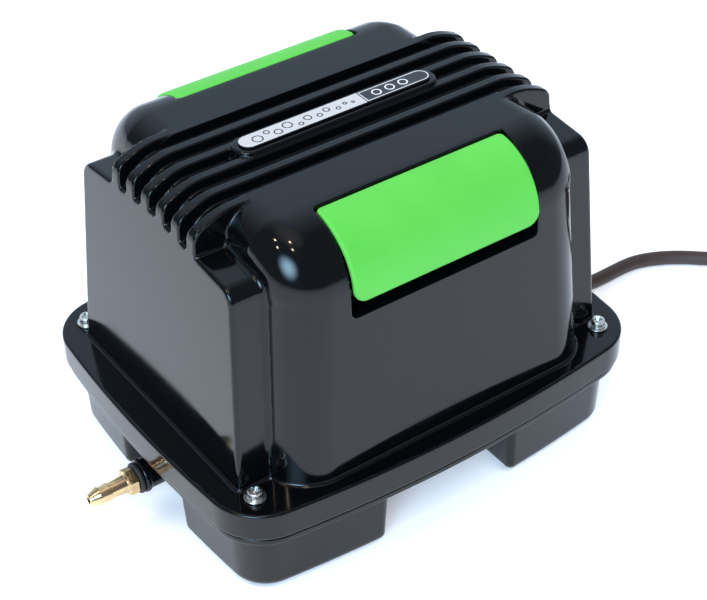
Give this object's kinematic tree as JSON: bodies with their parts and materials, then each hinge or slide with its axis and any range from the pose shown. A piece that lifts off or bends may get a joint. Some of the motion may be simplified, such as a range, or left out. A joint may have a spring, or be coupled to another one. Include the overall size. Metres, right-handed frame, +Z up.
{
  "type": "air pump",
  "caption": "Linear diaphragm air pump for a pond: black finned weatherproof housing with green grips on a footed base, brass hose barb, mains cord.",
  "frame": {"origin": "on the floor under the middle of the pump's overall box, hose barb included and cord left out", "axes": "+X along the cooling fins from the hose barb to the cord entry, +Y across them to the rear, +Z up"},
  "size_m": [0.5795, 0.2678, 0.1948],
  "materials": {
    "black_housing": "gloss black moulded housing",
    "black_base": "semi-gloss black moulded base",
    "green_grip": "matt soft-touch green rubber",
    "silver_label": "satin silver foil plate",
    "stainless": "bright stainless",
    "brass": "machined brass",
    "black_rubber": "matt black rubber",
    "alloy": "die-cast aluminium",
    "lamination": "stacked steel sheets",
    "copper_winding": "enamelled copper winding",
    "ferrite": "sintered ferrite",
    "natural_nylon": "off-white moulded nylon",
    "grey_felt": "grey needle felt",
    "cord_skin": "brownish black rubber cord"
  },
  "bodies": {
    "base": {"base_tray": "black_base", "base_gasket": "black_rubber", "outlet_port": "black_base", "outlet_seal": "black_rubber", "hose_barb": "brass", "air_chamber": "natural_nylon", "filter_cover": "black_base", "filter_pad": "grey_felt", "motor_frame": "alloy", "front_core": "lamination", "rear_core": "lamination", "front_coil": "copper_winding", "rear_coil": "copper_winding", "terminal_block": "natural_nylon", "cord_entry": "black_base", "strain_relief": "black_rubber", "power_cord": "cord_skin", "cord_coil": "cord_skin", "cord_tie": "black_rubber", "plug": "cord_skin", "foot_pad_1": "black_rubber", "vibration_mount_1": "black_rubber", "foot_pad_2": "black_rubber", "vibration_mount_2": "black_rubber", "foot_pad_3": "black_rubber", "vibration_mount_3": "black_rubber", "foot_pad_4": "black_rubber", "vibration_mount_4": "black_rubber", "left_diaphragm": "black_rubber", "left_clamp_ring": "alloy", "left_pump_head": "natural_nylon", "left_inlet_valve": "black_rubber", "left_outlet_valve": "black_rubber", "left_head_cover": "natural_nylon", "left_head_hose": "black_rubber", "right_diaphragm": "black_rubber", "right_clamp_ring": "alloy", "right_pump_head": "natural_nylon", "right_inlet_valve": "black_rubber", "right_outlet_valve": "black_rubber", "right_head_cover": "natural_nylon", "right_head_hose": "black_rubber"},
    "cover": {"upper_housing": "black_housing", "front_grip": "green_grip", "rear_grip": "green_grip", "label_plate": "silver_label", "housing_screw_1": "stainless", "housing_screw_2": "stainless", "housing_screw_3": "stainless", "housing_screw_4": "stainless"},
    "armature": {"magnet_rod": "stainless", "front_magnet": "ferrite", "rear_magnet": "ferrite", "left_inner_disc": "alloy", "left_outer_disc": "alloy", "left_rod_nut": "stainless", "right_inner_disc": "alloy", "right_outer_disc": "alloy", "right_rod_nut": "stainless"}
  },
  "joints": [
    {"name": "cover_lift", "type": "slide", "parent": "base", "child": "cover", "axis": [0, 0, 1], "range_m": [0, 0.17]},
    {"name": "rod_slide", "type": "slide", "parent": "base", "child": "armature", "axis": [1, 0, 0], "range_m": [-0.0025, 0.0025], "stiffness_N_per_m": 15000, "deforming": ["left_diaphragm", "right_diaphragm"]}
  ]
}
